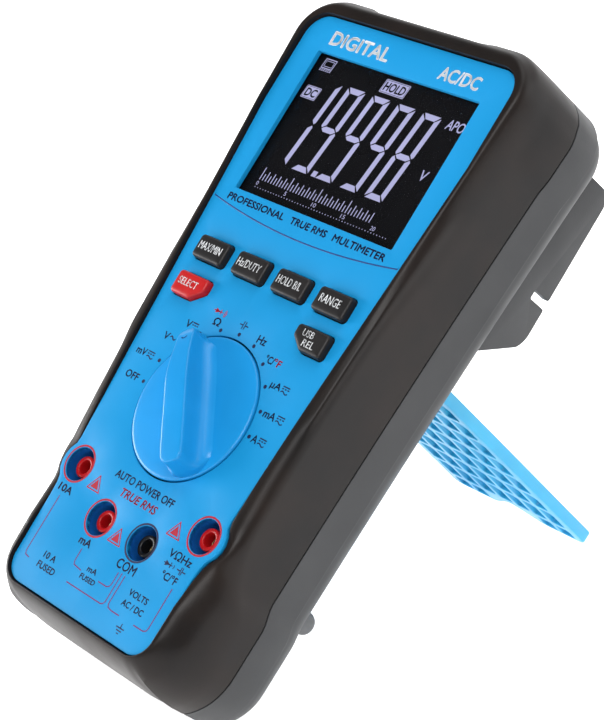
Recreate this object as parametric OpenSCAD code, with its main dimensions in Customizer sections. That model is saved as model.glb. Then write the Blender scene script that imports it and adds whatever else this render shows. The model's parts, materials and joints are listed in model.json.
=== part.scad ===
// Handheld digital multimeter standing on its fold-out tilt stand.
// Sub-parts are drawn in the case frame: X right, Y towards the top end, Z out of the
// front, with the origin on the rotary switch axis at the panel surface. stand_up()
// then leans the case back onto its stand, +Z up, with the floor at Z = 0.

/* [Case] */
// Distance from the switch axis to the top end
body_top = 126; // [122:1:130]
// Distance from the switch axis to the bottom end
body_bottom = 73; // [71:1:75]
// Half width of the case level with the switch
waist_half = 41.6; // [40:0.2:43]
// Gain in half width per millimetre towards the top
taper = 0.051; // [0.046:0.001:0.056]
// Depth from the panel surface to the back face
case_depth = 45; // [44:0.5:46]
// Depth of the parting line below the panel surface
parting = 24.5; // [24:0.5:25]
// Wall thickness of the shells
wall = 2.5; // [2.2:0.1:2.8]
// Rounding of the back edges
back_round = 10; // [9:0.5:11]
// Height of the rim above the panel
rim_height = 1.4; // [1:0.1:1.8]

/* [Bumpers] */
// How far the top corner bumpers stand proud
top_flare = 0.9; // [0.6:0.1:1.2]
// How far the bottom corner bumpers stand proud
bottom_flare = 1.9; // [1.4:0.1:2.2]

/* [Panel] */
// Top edge of the printed panel
panel_top = 120; // [119:0.5:121]
// Bottom edge of the printed panel, below the switch axis
panel_bottom = 66; // [65:0.5:67]
// Half width of the panel beside the display
panel_half_top = 42.8; // [42:0.1:43]
// Half width of the panel beside the lower sockets
panel_half_low = 32.8; // [32:0.1:33]
// Thickness of the panel
panel_t = 1.5; // [1.2:0.1:1.8]

/* [Display] */
// Width of the display window
window_w = 66.8; // [64:0.2:68]
// Height of the display window
window_h = 46.9; // [44:0.1:48]
// Height of the window centre above the switch axis
window_y = 85.45; // [85:0.05:86]

/* [Switch] */
// Radius of the knob disc
knob_r = 21.75; // [21:0.05:21.8]
// Height of the knob handle above the panel
knob_h = 9.5; // [8:0.1:11]
// Angle between neighbouring switch positions
switch_step = 18; // [18:1:18]
// Switch position at rest, counted from OFF
switch_rest = 3; // [0:1:10]

/* [Keys] */
// Width of a key
key_w = 12.9; // [12:0.1:13.4]
// Height of a key along the case
key_h = 7.2; // [6.8:0.1:7.6]
// Distance between neighbouring keys
key_pitch = 17.45; // [17:0.05:18]
// How far a key stands proud of the panel
key_proud = 2.2; // [1.8:0.1:2.6]
// Travel of a key
key_travel = 0.8; // [0.6:0.1:0.9]

/* [Sockets] */
// Pitch of the test lead sockets across the panel
socket_pitch = 19.05; // [19.05:0.01:19.05]
// Inner radius of a socket's brass tube
socket_r = 2.0; // [2:0.1:2]
// Radius of the recess around a socket
shroud_r = 5.1; // [5:0.05:5.2]

/* [Stand] */
// Lean of the case from lying flat
lean = 46.5; // [45:0.5:48]
// Opening angle of the stand
stand_open = 85; // [83:0.5:87]
// Half width of the stand plate
stand_half = 29.3; // [28:0.1:29.5]
// Distance of the stand hinge above the switch axis
hinge_y = 42.3; // [41.5:0.1:43]
// Radius of the hinge pins
pin_r = 1.5; // [1.4:0.05:1.6]

/* [Hidden] */
$fn = 64;

// Case
rim_fall = 15;
rim_inset = 5;
top_corner = 14;
bottom_corner = 16;
front_top_inset = 1.6;
front_bottom_inset = 4.6;
bumper_y_top = 99;
bumper_y_bottom = -40;
bumper_low_z = -39;
ledge_t = 1.8;
ledge_w = 3.4;
fit_gap = 0.3;
slice = 0.02;

// Inside, from the front to the back
lens_t = 1.0;
lcd_z = -panel_t - lens_t - 0.1;
lcd_t = 2.0;
board_z = -16.8;
board_t = 1.6;
board_back = board_z - board_t;

// Back of the case, with the recess that the stand folds into
recess_depth = 4.4;
recess_half = 30.2;
recess_low = -64.4;
recess_high = 45.8;
recess_floor = -case_depth + recess_depth;
hinge_z = -case_depth + 2.2;
hole_r = pin_r + 0.05;
battery_size = [26.5, 48.5, 17.5];
battery_low = -10;
cover_half = 16;
cover_low = -19;
cover_high = 42;

// Probe holders on the back
holder_back = -62.8;
holder_low = 55.5;
holder_high = 115.4;
holder_wall = 2.3;
holder_outer = 37;
holder_inner = 22.7;
holder_split = 78;
holder_split_w = 2.6;
holder_split_d = 7.5;

// Stand
stand_len = 105.2;
stand_t = 4;
stand_border = 3.8;
stand_pocket = 1.4;
foot_rise = 6;
foot_corner = 3;

// Switch, keys and sockets
rest_angle = 180 - switch_step * switch_rest;
socket_high_y = -29.03;
socket_low_y = -39.10;
boss_r = 7.5;
tube_r = 6.5;
socket_at = [
  [-1.5 * socket_pitch, socket_high_y], [-0.5 * socket_pitch, socket_low_y],
  [0.5 * socket_pitch, socket_low_y], [1.5 * socket_pitch, socket_high_y]
];
key_row_y = 42;
key_low_y = 30.1;
key_cut = 4.2;
keys_at = [
  [-1.5 * key_pitch, key_row_y], [-0.5 * key_pitch, key_row_y],
  [0.5 * key_pitch, key_row_y], [1.5 * key_pitch, key_row_y],
  [-1.5 * key_pitch, key_low_y], [1.5 * key_pitch, key_low_y]
];
top_screws = [[-27, 116.5], [27, 116.5]];
low_screws = [[-27, -60], [27, -60]];
feet_at = [[-33, -35], [33, -35]];

// Lowest point of the case, and the front and back of the whole part, once it leans back
floor_z = -(body_bottom - back_round) * sin(lean)
  - (case_depth - back_round) * cos(lean) - back_round;
tip = [hinge_y - stand_len * cos(stand_open), hinge_z - stand_len * sin(stand_open)];
back_y = tip[0] * cos(lean) - tip[1] * sin(lean) + stand_t / 2 * sin(lean + stand_open);
front_y = -(body_bottom - front_bottom_inset) * cos(lean) - rim_height * sin(lean);
centre_y = (front_y + back_y) / 2;

// ---- outlines ------------------------------------------------------------------------

function arc(cx, cy, r, from, to, n = 10) =
  [for (i = [0:n]) [cx + r * cos(from + (to - from) * i / n),
                    cy + r * sin(from + (to - from) * i / n)]];

function both_sides(right) =
  concat(right, [for (i = [len(right) - 1:-1:0]) [-right[i][0], right[i][1]]]);

// Half width of the case at height y
function half_at(y) = waist_half + taper * y;

// Plan outline of the case, drawn in by side, top and bottom
function case_outline(side, top, bottom) =
  let (yt = body_top - top, yb = -body_bottom + bottom,
       rt = top_corner - side / 2, rb = bottom_corner - side / 2,
       wt = half_at(yt - rt) - side, wb = half_at(yb + rb) - side)
  both_sides(concat(arc(wb - rb, yb + rb, rb, -90, 0), arc(wt - rt, yt - rt, rt, 0, 90)));

// Plan outline of the printed panel, grown by d
function panel_outline(d) =
  let (rt = 7.5 + d, rb = 7 + d, w_low = panel_half_low - 0.3 + d)
  both_sides(concat(
    arc(w_low - rb, -panel_bottom - d + rb, rb, -90, 0),
    [[panel_half_low + d, -40], [panel_half_top + d, 90]],
    arc(panel_half_top + d - rt, panel_top + d - rt, rt, 0, 90)));

// Rounded rectangle w by h
function round_rect(w, h, r) =
  both_sides(concat(arc(w / 2 - r, -h / 2 + r, r, -90, 0, 6), arc(w / 2 - r, h / 2 - r, r, 0, 90, 6)));

// Key outline grown by d; cut is the side of the cut lower corner: -1, 0 or 1
function key_outline(d, cut) =
  let (w = key_w / 2 + d, h = key_h / 2 + d, r = 1.2 + d, c = key_cut)
  concat(
    arc(w - r, h - r, r, 0, 90, 5), arc(-w + r, h - r, r, 90, 180, 5),
    cut < 0 ? [[-w, h - 3.4], [-w + 1.1 * c, -h]] : arc(-w + r, -h + r, r, 180, 270, 5),
    cut > 0 ? [[w - 1.1 * c, -h], [w, h - 3.4]] : arc(w - r, -h + r, r, 270, 360, 5));

// ---- placing -------------------------------------------------------------------------

module stand_up() {
  translate([0, -centre_y, -floor_z]) rotate([lean, 0, 0]) children();
}

module plate(points, low, high) {
  translate([0, 0, low]) linear_extrude(high - low) polygon(points);
}

module block(low, high) {
  translate(low) cube(high - low);
}

module open_stand() {
  translate([0, hinge_y, hinge_z]) rotate([stand_open, 0, 0]) children();
}

// ---- shells --------------------------------------------------------------------------

module front_body() {
  hull() {
    for (a = [0:15:90]) {
      translate([0, 0, rim_height - rim_fall * (1 - cos(a)) - slice])
        linear_extrude(slice)
          polygon(case_outline(rim_inset * (1 - sin(a)), front_top_inset * (1 - sin(a) / 2),
            front_bottom_inset * cos(a / 1.2)));
    }
    plate(case_outline(0, 0, 0), -parting, -parting + slice);
  }
}

module rear_body() {
  hull() {
    plate(case_outline(0, 0, 0), -parting - slice, -parting);
    for (a = [0:15:90]) {
      inset = back_round * (1 - cos(a));
      z = -case_depth + back_round * (1 - sin(a));
      plate(case_outline(inset, inset, inset), z, z + slice);
    }
  }
}

// Corner bumpers between two heights
module bumpers(low, high) {
  difference() {
    union() {
      intersection() {
        plate(case_outline(-top_flare, 0, 0), low, high);
        block([-60, bumper_y_top, low], [60, body_top + 1, high]);
      }
      intersection() {
        plate(case_outline(-bottom_flare, 0, 0), low, high);
        block([-60, -body_bottom - 1, low], [60, bumper_y_bottom, high]);
      }
    }
    plate(case_outline(wall, wall, wall), low - 1, high + 1);
  }
}

module screw_posts(r, low, high) {
  for (p = concat(top_screws, low_screws)) {
    translate([p[0], p[1], low]) cylinder(h = high - low, r = r);
  }
}

module front_shell() {
  color([0.2, 0.19, 0.19]) stand_up() difference() {
    union() {
      difference() {
        union() {
          front_body();
          bumpers(-parting, -parting + 9);
        }
        plate(panel_outline(0.35), -panel_t, rim_height + 5);
        for (s = [-1, 1]) {
          translate([s * socket_at[3][0], socket_high_y, -panel_t])
            cylinder(h = rim_height + 5, r = boss_r + 0.35);
        }
        plate(panel_outline(-ledge_w), -panel_t - ledge_t, 1);
        plate(case_outline(wall + 2, wall + 1, wall + 4), -parting - 1, -panel_t - ledge_t);
        for (p = socket_at) {
          translate([p[0], p[1], -parting]) cylinder(h = parting - panel_t, r = tube_r + 0.3);
        }
      }
      screw_posts(3.2, -parting, -panel_t - ledge_t);
    }
    screw_posts(1.25, -parting - 1, -panel_t - ledge_t - 4);
  }
}

// Profile of a probe holder wall, along the case and out of the back
module holder_wall_at(x) {
  translate([x, 0, 0]) rotate([90, 0, 90]) linear_extrude(holder_wall)
    polygon(concat(
      [[holder_low - 2, -case_depth + 3], [holder_low, -case_depth - 3]],
      arc(holder_low + 13, holder_back + 8, 8, 225, 270, 6),
      arc(holder_high - 5, holder_back + 5, 5, 270, 360, 8),
      [[holder_high, -case_depth + 3]]));
}

module probe_holders() {
  difference() {
    for (s = [-1, 1]) {
      holder_wall_at(s > 0 ? holder_outer - holder_wall : -holder_outer);
      holder_wall_at(s > 0 ? holder_inner - holder_wall : -holder_inner);
    }
    for (s = [-1, 1]) {
      block([s * holder_outer - 4, holder_split - holder_split_w / 2, holder_back - 1],
        [s * holder_outer + 4, holder_split + holder_split_w / 2, holder_back + holder_split_d]);
    }
  }
}

module rear_shell() {
  recess_wall = recess_half + 2.2;
  color([0.36, 0.37, 0.38]) stand_up() difference() {
    union() {
      difference() {
        union() {
          rear_body();
          bumpers(bumper_low_z, -parting);
        }
        difference() {
          union() {
            plate(case_outline(wall + 0.4, wall + 0.4, wall + 0.4), -case_depth + 7, -parting + 1);
            plate(case_outline(wall + 4, wall + 4, wall + 4), -case_depth + wall, -parting);
          }
          block([-recess_wall, recess_low - 2, -case_depth],
            [recess_wall, recess_high + 2, recess_floor + 2]);
        }
      }
      probe_holders();
      screw_posts(4.2, -case_depth + 1, -parting);
      battery_bay();
    }
    block([-recess_half, recess_low, -case_depth - 1], [recess_half, recess_high, recess_floor]);
    block([-cover_half - 0.2, cover_low - 0.2, recess_floor - 1],
      [cover_half + 0.2, cover_high + 0.2, recess_floor + 3]);
    screw_posts(3.2, -case_depth - 1, -33);
    screw_posts(1.7, -34, -parting + 1);
    for (p = feet_at) {
      translate([p[0], p[1], -case_depth - 1]) cylinder(h = 3, r = 3.6);
    }
    translate([-recess_wall - 0.5, hinge_y, hinge_z]) rotate([0, 90, 0])
      cylinder(h = 2 * recess_wall + 1, r = hole_r);
  }
}

// Walls around the battery, with a ledge for the cover and its screw posts
module battery_bay() {
  bay_t = 1.2;
  difference() {
    block([-cover_half - bay_t - 0.2, cover_low - bay_t - 0.2, recess_floor + 0.5],
      [cover_half + bay_t + 0.2, cover_high + bay_t + 0.2, board_back - 1]);
    block([-cover_half - 0.2, battery_low - 0.4, recess_floor],
      [cover_half + 0.2, cover_high + 0.2, board_back - 2.2]);
    for (s = [-1, 1]) {
      translate([s * 10, battery_low - 4.8, recess_floor]) cylinder(h = 10, r = 1.1);
    }
  }
}

module battery_cover() {
  color([0.2, 0.2, 0.21]) stand_up() difference() {
    block([-cover_half, cover_low, recess_floor], [cover_half, cover_high, recess_floor + 2]);
    for (s = [-1, 1]) {
      translate([s * 10, battery_low - 4.8, recess_floor - 1]) cylinder(h = 4, r = 1.3);
      translate([s * 10, battery_low - 4.8, recess_floor - 1]) cylinder(h = 2, r = 2.6);
    }
  }
}

// Screw with its head at z = 0 and its shank along +Z
module screw(head_r, head_h, shank_r, shank_h) {
  difference() {
    union() {
      cylinder(h = head_h, r = head_r);
      cylinder(h = head_h + shank_h, r = shank_r);
    }
    for (a = [0, 90]) {
      rotate([0, 0, a]) translate([-head_r * 0.6, -0.3, -1]) cube([head_r * 1.2, 0.6, 1.6]);
    }
  }
}

module cover_screws() {
  color([0.75, 0.75, 0.78]) stand_up() for (s = [-1, 1]) {
    translate([s * 10, battery_low - 4.8, recess_floor + 0.1]) screw(2.3, 0.9, 1.05, 7);
  }
}

module case_screws() {
  color([0.75, 0.75, 0.78]) stand_up() for (p = concat(top_screws, low_screws)) {
    translate([p[0], p[1], -35]) screw(2.9, 2, 1.2, 22);
  }
}

module rear_feet() {
  color([0.3, 0.31, 0.32]) stand_up() for (p = feet_at) {
    translate([p[0], p[1], -case_depth]) {
      cylinder(h = 2, r = 3.6);
      intersection() {
        sphere(r = 3.6);
        translate([-4, -4, -3]) cube([8, 8, 3]);
      }
    }
  }
}

// ---- front panel ---------------------------------------------------------------------

module front_panel() {
  color([0.15, 0.61, 0.89]) stand_up() difference() {
    union() {
      plate(panel_outline(0), -panel_t, 0);
      for (p = socket_at) {
        translate([p[0], p[1], -panel_t]) cylinder(h = panel_t, r = boss_r);
        translate([p[0], p[1], board_z + 0.3]) cylinder(h = -board_z - 0.3, r = tube_r);
      }
    }
    block([-window_w / 2, window_y - window_h / 2, -panel_t - 1],
      [window_w / 2, window_y + window_h / 2, 1]);
    translate([0, 0, -panel_t - 1]) cylinder(h = panel_t + 2, r = knob_r + 0.3);
    for (i = [0:5]) {
      translate([keys_at[i][0], keys_at[i][1], -panel_t - 1])
        linear_extrude(panel_t + 2) polygon(key_outline(fit_gap, key_side(i)));
    }
    for (p = socket_at) {
      translate([p[0], p[1], board_z]) cylinder(h = -board_z + 1, r = shroud_r);
    }
  }
}

module lcd_window() {
  color([0.5, 0.55, 0.6, 0.3]) stand_up()
    block([-window_w / 2 - 2, window_y - window_h / 2 - 2, -panel_t - lens_t],
      [window_w / 2 + 2, window_y + window_h / 2 + 2, -panel_t]);
}

module lcd_layer(grow, front, back) {
  block([-window_w / 2 - grow, window_y - window_h / 2 - grow, back],
    [window_w / 2 + grow, window_y + window_h / 2 + grow, front]);
}

module lcd_module() {
  color([0.03, 0.03, 0.04]) stand_up() lcd_layer(1.5, lcd_z, lcd_z - lcd_t);
}

module lcd_backlight() {
  color([0.9, 0.92, 0.95]) stand_up() lcd_layer(-1.5, lcd_z - lcd_t - 0.1, lcd_z - lcd_t - 2.6);
}

module lcd_frame() {
  color([0.92, 0.92, 0.9]) stand_up() difference() {
    lcd_layer(3, lcd_z, board_z);
    lcd_layer(1.6, lcd_z + 1, board_z - 1);
  }
}

module zebra_strips() {
  color([0.85, 0.5, 0.55]) stand_up() for (s = [-1, 1]) {
    translate([0, window_y + s * (window_h / 2 + 0.2), (lcd_z - lcd_t + board_z) / 2])
      cube([60, 2.2, lcd_z - lcd_t - board_z], center = true);
  }
}

// ---- circuit board -------------------------------------------------------------------

module main_board() {
  color([0.05, 0.35, 0.18]) stand_up() difference() {
    plate(case_outline(7, 17, 8), board_back, board_z);
    for (p = socket_at) {
      translate([p[0], p[1], board_back - 1]) cylinder(h = board_t + 2, r = 2.65);
    }
    cylinder_hole(4.5);
    for (p = board_screw_at()) {
      translate([p[0], p[1], board_back - 1]) cylinder(h = board_t + 2, r = 1.3);
    }
    for (p = low_screws) {
      translate([p[0], p[1], board_back - 1]) cylinder(h = board_t + 2, r = 3.6);
    }
  }
}

module cylinder_hole(r) {
  translate([0, 0, board_back - 1]) cylinder(h = board_t + 2, r = r);
}

function board_screw_at() = [[-31, 52], [31, 52], [-24, -20], [24, -20]];

module board_screws() {
  color([0.78, 0.78, 0.8]) stand_up() for (p = board_screw_at()) {
    translate([p[0], p[1], board_back - 1.4]) screw(2.2, 1.4, 1.2, 6);
  }
}

module measuring_chip() {
  color([0.08, 0.08, 0.09]) stand_up()
    block([-8, 60, board_back - 2], [8, 76, board_back]);
}

module board_parts() {
  color([0.1, 0.25, 0.6]) stand_up() {
    for (x = [-30, -23, 23, 30]) {
      translate([x, 2, board_back - 8]) cylinder(h = 8, r = 2.6);
    }
    for (i = [0:4]) {
      block([-24 + 11 * i, 92, board_back - 2.5], [-18 + 11 * i, 98, board_back]);
    }
  }
}

module current_shunt() {
  color([0.72, 0.5, 0.3]) stand_up() translate([-28.5, -48, board_back])
    rotate([90, 0, 90]) rotate_extrude(angle = -180) translate([4, 0]) circle(r = 0.8);
}

module buzzer() {
  color([0.1, 0.1, 0.1]) stand_up() translate([26, -8, board_back - 6.5]) difference() {
    cylinder(h = 6.5, r = 6);
    translate([0, 0, -1]) cylinder(h = 2, r = 1.2);
  }
}

module shield_plate() {
  color([0.8, 0.8, 0.82]) stand_up()
    block([-30, 54, -30], [30, 108, -29.5]);
}

module fuse(x, y, half) {
  translate([x, y, board_back - 6]) rotate([0, 90, 0])
    cylinder(h = 2 * half, r = 3, center = true);
}

module fuse_ends(x, y, half) {
  for (s = [-1, 1]) {
    translate([x + s * (half - 3), y, board_back - 6]) rotate([0, 90, 0]) difference() {
      cylinder(h = 6, r = 3.3, center = true);
      cylinder(h = 7, r = 3, center = true);
    }
  }
}

module fuse_10a() {
  color([0.93, 0.91, 0.85]) stand_up() fuse(0, -46.5, 16);
}

module fuse_ma() {
  color([0.93, 0.91, 0.85]) stand_up() fuse(0, -56.5, 16);
}

module fuse_caps() {
  color([0.8, 0.8, 0.82]) stand_up() {
    fuse_ends(0, -46.5, 16);
    fuse_ends(0, -56.5, 16);
  }
}

module fuse_clips() {
  color([0.85, 0.75, 0.4]) stand_up() for (y = [-46.5, -56.5], s = [-1, 1]) {
    translate([s * 13, y, board_back - 6]) difference() {
      union() {
        rotate([0, 90, 0]) cylinder(h = 4, r = 3.9, center = true);
        translate([-2, -3.9, 0]) cube([4, 7.8, 6]);
      }
      rotate([0, 90, 0]) cylinder(h = 5, r = 3.3, center = true);
      translate([-3, -2.2, -7]) cube([6, 4.4, 7]);
    }
  }
}

// ---- battery -------------------------------------------------------------------------

module battery() {
  color([0.15, 0.16, 0.2]) stand_up()
    translate([0, battery_low + battery_size[1] / 2 - 1.5, recess_floor + 2.3 + battery_size[2] / 2])
      cube([battery_size[0], battery_size[1] - 3, battery_size[2]], center = true);
}

module battery_terminals() {
  color([0.8, 0.8, 0.82]) stand_up() for (s = [-1, 1]) {
    translate([s * 6.35, battery_low + battery_size[1] - 3, recess_floor + 11]) rotate([-90, 0, 0])
      cylinder(h = 2.6, r = s > 0 ? 2.8 : 3.8);
  }
}

module battery_snap() {
  color([0.1, 0.1, 0.1]) stand_up()
    block([-12.5, battery_low + battery_size[1] - 0.4, recess_floor + 5],
      [12.5, battery_low + battery_size[1] + 2.2, recess_floor + 17]);
}

// ---- rotary switch -------------------------------------------------------------------

// Handle profile, along the handle and out of the panel
function handle_profile() =
  [[-20.6, -1], [-20.9, knob_h - 1.2], [-19.9, knob_h], [6, knob_h], [14, knob_h - 1.6],
   [21.6, knob_h / 2 + 0.6], [23, knob_h / 2 - 0.6], [22.9, 0.7], [20, 0.7], [20, -1]];

module knob() {
  color([0.15, 0.61, 0.89]) stand_up() rotate([0, 0, rest_angle]) {
    translate([0, 0, -3]) cylinder(h = 3.7, r = knob_r);
    translate([0, 3.7, 0]) rotate([90, 0, 0]) linear_extrude(7.4) polygon(handle_profile());
    translate([0, 0, -8]) cylinder(h = 6, r = 5);
  }
}

module switch_rotor() {
  color([0.9, 0.88, 0.82]) stand_up() rotate([0, 0, rest_angle]) difference() {
    union() {
      translate([0, 0, -8]) cylinder(h = 4.6, r = 8);
      translate([0, 0, -15.6]) cylinder(h = 7.6, r = 16);
      translate([0, 0, board_back - 0.5]) cylinder(h = 4, r = 4.2);
    }
    translate([0, 0, -8]) cylinder(h = 6, r = 5);
    for (a = [0, 180]) {
      rotate([0, 0, a]) translate([8, 0, -11]) rotate([0, 90, 0]) cylinder(h = 10, r = 1.6);
    }
  }
}

module switch_wipers() {
  color([0.85, 0.7, 0.35]) stand_up() rotate([0, 0, rest_angle]) for (a = [30, 150, 270]) {
    rotate([0, 0, a]) difference() {
      translate([8, -3, -16.4]) cube([6.5, 6, 0.8]);
      translate([7, -0.3, -17]) cube([6, 0.6, 2]);
    }
  }
}

module detent_balls() {
  color([0.8, 0.8, 0.82]) stand_up() rotate([0, 0, rest_angle]) for (s = [-1, 1]) {
    translate([s * 16.6, 0, -11]) sphere(r = 1.5);
  }
}

module detent_springs() {
  color([0.7, 0.7, 0.72]) stand_up() rotate([0, 0, rest_angle]) for (a = [0, 180]) {
    rotate([0, 0, a]) translate([8, 0, -11]) rotate([0, 90, 0]) difference() {
      cylinder(h = 7, r = 1.3);
      translate([0, 0, -1]) cylinder(h = 9, r = 0.9);
    }
  }
}

// Notched ring that the detent balls click into, one notch a switch position
module detent_ring() {
  color([0.9, 0.88, 0.82]) stand_up() translate([0, 0, -13.6]) difference() {
    cylinder(h = 9, r = 20.6);
    translate([0, 0, -1]) cylinder(h = 11, r = 18.4);
    for (i = [0:19]) {
      rotate([0, 0, switch_step * i]) translate([18.2, 0, -1]) cylinder(h = 11, r = 1.5, $fn = 24);
    }
  }
}

// ---- keys ----------------------------------------------------------------------------

function key_side(i) = i == 4 ? 1 : i == 5 ? -1 : 0;

module key(i) {
  stand_up() translate([keys_at[i][0], keys_at[i][1], 0]) {
    plate(key_outline(0, key_side(i)), -panel_t - 0.4, key_proud);
    plate(key_outline(0.8, key_side(i)), -panel_t - 1.4, -panel_t - 0.3);
    translate([0, 0, board_z + 2.8]) cylinder(h = -board_z - 4, r = 2);
  }
}

module key_maxmin() {
  color([0.22, 0.2, 0.2]) key(0);
}

module key_duty() {
  color([0.22, 0.2, 0.2]) key(1);
}

module key_hold() {
  color([0.22, 0.2, 0.2]) key(2);
}

module key_range() {
  color([0.22, 0.2, 0.2]) key(3);
}

module key_select() {
  color([0.86, 0.14, 0.14]) key(4);
}

module key_rel() {
  color([0.22, 0.2, 0.2]) key(5);
}

module keypad_mat() {
  color([0.75, 0.77, 0.78]) stand_up() {
    block([-34, 37, board_z], [34, 47, board_z + 0.7]);
    for (s = [-1, 1]) {
      block([s * 26.2 - 8, 25.5, board_z], [s * 26.2 + 8, 37, board_z + 0.7]);
    }
    for (p = keys_at) {
      translate([p[0], p[1], board_z]) cylinder(h = 1.6, r = 3);
    }
  }
}

// ---- sockets -------------------------------------------------------------------------

module socket(i) {
  color([0.8, 0.65, 0.3]) stand_up() translate([socket_at[i][0], socket_at[i][1], 0])
    difference() {
      union() {
        translate([0, 0, board_back - 1]) cylinder(h = -3.2 - board_back + 1, r = 2.6);
        translate([0, 0, board_z]) cylinder(h = 1, r = 4.2);
      }
      translate([0, 0, board_back + 0.4]) cylinder(h = 30, r = socket_r);
    }
}

module sleeve(i) {
  stand_up() translate([socket_at[i][0], socket_at[i][1], 0]) difference() {
    union() {
      translate([0, 0, board_z + 1.1]) cylinder(h = -board_z - 3.3, r = 3.3);
      translate([0, 0, board_z + 1.1]) cylinder(h = 1.5, r = 5);
    }
    translate([0, 0, board_z]) cylinder(h = -3.2 - board_z, r = 2.65);
    translate([0, 0, -5]) cylinder(h = 5, r = socket_r);
  }
}

module socket_10a() {
  socket(0);
}

module socket_ma() {
  socket(1);
}

module socket_com() {
  socket(2);
}

module socket_volt() {
  socket(3);
}

module sleeve_10a() {
  color([0.8, 0.1, 0.1]) sleeve(0);
}

module sleeve_ma() {
  color([0.8, 0.1, 0.1]) sleeve(1);
}

module sleeve_com() {
  color([0.05, 0.05, 0.05]) sleeve(2);
}

module sleeve_volt() {
  color([0.8, 0.1, 0.1]) sleeve(3);
}

// ---- tilt stand ----------------------------------------------------------------------

// Outline of the stand, from the hinge down to its two feet
function stand_outline() =
  both_sides(concat(
    arc(0, -stand_len - 6, 12, 90, 62, 4),
    [[12, -stand_len]],
    arc(stand_half - foot_corner, -stand_len + foot_corner, foot_corner, -90, 0, 8),
    [[stand_half - 1.6, -6], [stand_half - 1.6, 0]]));

module tilt_stand() {
  color([0.3, 0.75, 0.98]) difference() {
    stand_up() open_stand() difference() {
      union() {
        plate(stand_outline(), -stand_t / 2, stand_t / 2);
        rotate([0, 90, 0]) cylinder(h = 2 * stand_half - 3.2, r = stand_t / 2, center = true);
      }
      intersection() {
        plate(stand_outline(), stand_t / 2 - stand_pocket, stand_t);
        block([-stand_half + stand_border + 1.6, -stand_len + foot_rise + 3, -stand_t],
          [stand_half - stand_border - 1.6, -7, stand_t]);
      }
      rotate([0, 90, 0]) cylinder(h = 2 * stand_half, r = pin_r, center = true);
    }
    block([-60, -200, -20], [60, 200, 0]);
  }
}

module stand_pins() {
  color([0.75, 0.76, 0.78]) stand_up() open_stand() for (s = [-1, 1]) {
    translate([s * (stand_half - 5), 0, 0]) rotate([0, 90, 0])
      cylinder(h = 13.6, r = pin_r, center = true);
  }
}

front_shell();
rear_shell();
front_panel();
lcd_window();
lcd_module();
lcd_backlight();
lcd_frame();
zebra_strips();
main_board();
board_screws();
measuring_chip();
board_parts();
keypad_mat();
key_maxmin();
key_duty();
key_hold();
key_range();
key_select();
key_rel();
knob();
switch_rotor();
switch_wipers();
detent_balls();
detent_springs();
detent_ring();
socket_10a();
socket_ma();
socket_com();
socket_volt();
sleeve_10a();
sleeve_ma();
sleeve_com();
sleeve_volt();
fuse_10a();
fuse_ma();
fuse_caps();
fuse_clips();
current_shunt();
buzzer();
shield_plate();
battery();
battery_terminals();
battery_snap();
battery_cover();
cover_screws();
case_screws();
rear_feet();
tilt_stand();
stand_pins();
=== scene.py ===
import json
from math import cos, exp, hypot, pi, radians, sin, sqrt

import bmesh
import bpy
import numpy as np
from mathutils import Matrix, Vector


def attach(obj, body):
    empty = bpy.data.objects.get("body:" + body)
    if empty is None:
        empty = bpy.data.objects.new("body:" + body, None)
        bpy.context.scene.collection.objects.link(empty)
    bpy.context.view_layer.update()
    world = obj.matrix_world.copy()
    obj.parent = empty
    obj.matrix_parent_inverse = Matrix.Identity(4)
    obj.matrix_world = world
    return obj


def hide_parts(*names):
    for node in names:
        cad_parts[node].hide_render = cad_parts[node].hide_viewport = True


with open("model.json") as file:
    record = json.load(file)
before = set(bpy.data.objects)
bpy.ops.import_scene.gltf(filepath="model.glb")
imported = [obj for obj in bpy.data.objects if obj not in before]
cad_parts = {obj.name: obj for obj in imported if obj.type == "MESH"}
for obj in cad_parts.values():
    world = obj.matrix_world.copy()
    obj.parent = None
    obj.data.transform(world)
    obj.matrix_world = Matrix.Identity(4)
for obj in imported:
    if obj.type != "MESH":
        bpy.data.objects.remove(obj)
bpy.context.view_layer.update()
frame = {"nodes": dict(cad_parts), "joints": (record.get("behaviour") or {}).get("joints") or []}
NODES = frame["nodes"]
JOINTS = {joint["name"]: joint for joint in frame["joints"]}

# ---- frames ---------------------------
# Everything is drawn in the case frame, in millimetres: X right, Y towards the top end,
# Z out of the front, with the origin on the switch axis at the panel surface.

MM = 0.001


def axes(origin, x, z):
    y = z.cross(x).normalized()
    turn = Matrix((x, y, z)).transposed().to_4x4()
    return Matrix.Translation(origin) @ turn @ Matrix.Scale(MM, 4)


FRONT = Vector(JOINTS["knob_turn"]["axis"]).normalized()
CASE = axes(Vector(JOINTS["knob_turn"]["pos_m"]), Vector((1, 0, 0)), FRONT)
STAND_OPEN = radians(85)
HINGE = CASE.inverted() @ Vector(JOINTS["stand_fold"]["pos_m"])
STAND = CASE @ Matrix.Translation(HINGE) @ Matrix.Rotation(STAND_OPEN, 4, "X")
REST_ANGLE = radians(126)
KNOB = CASE @ Matrix.Rotation(REST_ANGLE, 4, "Z")


def ease(low, high, value):
    t = min(max((value - low) / (high - low), 0.0), 1.0)
    return t * t * (3 - 2 * t)


def along(table, value):
    return float(np.interp(value, [row[0] for row in table], [row[1] for row in table]))


def circle(x, y, r, steps):
    return [(x + r * cos(2 * pi * k / steps), y + r * sin(2 * pi * k / steps))
            for k in range(steps)]


def arc(x, y, r, start, end, steps):
    turns = [radians(start + (end - start) * k / steps) for k in range(steps + 1)]
    return [(x + r * cos(a), y + r * sin(a)) for a in turns]


# ---- materials ------------------------


def set_inputs(node, values):
    for key, value in values.items():
        node.inputs[key].default_value = value


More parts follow.
